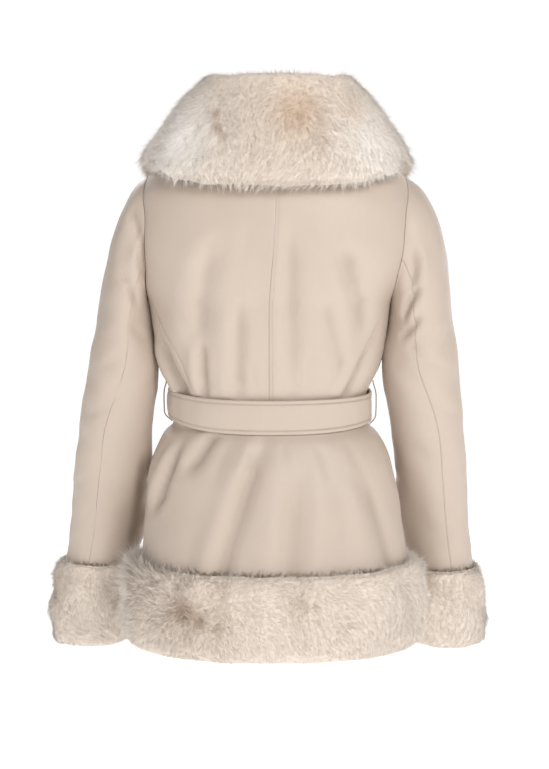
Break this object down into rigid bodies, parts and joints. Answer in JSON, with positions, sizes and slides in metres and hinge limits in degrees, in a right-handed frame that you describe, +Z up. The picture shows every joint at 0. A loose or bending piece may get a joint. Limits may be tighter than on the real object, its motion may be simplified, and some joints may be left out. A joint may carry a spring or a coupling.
{
  "type": "faux fur coat",
  "caption": "Short belted coat in smooth faux leather with a wide faux fur collar, fur cuffs and a fur hem band, in its worn, hollow form.",
  "frame": {"origin": "midway between the shoulders at the height of the side neck points, where the coat hangs on its wearer", "axes": "+Z up, the coat's front faces -Y, the wearer's left side is +X"},
  "size_m": [0.625, 0.3445, 0.802],
  "materials": {
    "shell_leather": "smooth matt cream faux leather with a fine grain",
    "trim_fur": "long soft cream faux fur",
    "belt_leather": "smooth matt cream faux leather, topstitched",
    "loop_thread": "twisted cream thread"
  },
  "bodies": {
    "root": {"back_left": "shell_leather", "back_right": "shell_leather", "side_left": "shell_leather", "side_right": "shell_leather", "front_left": "shell_leather", "front_right": "shell_leather", "skirt_back": "shell_leather", "skirt_front_left": "shell_leather", "skirt_front_right": "shell_leather", "sleeve_upper_left": "shell_leather", "sleeve_upper_right": "shell_leather", "sleeve_under_left": "shell_leather", "sleeve_under_right": "shell_leather", "collar": "trim_fur", "cuff_left": "trim_fur", "cuff_right": "trim_fur", "hem_back": "trim_fur", "hem_left": "trim_fur", "hem_right": "trim_fur", "belt": "belt_leather", "buckle": "belt_leather", "belt_loop_left": "loop_thread", "belt_loop_right": "loop_thread"}
  },
  "joints": []
}
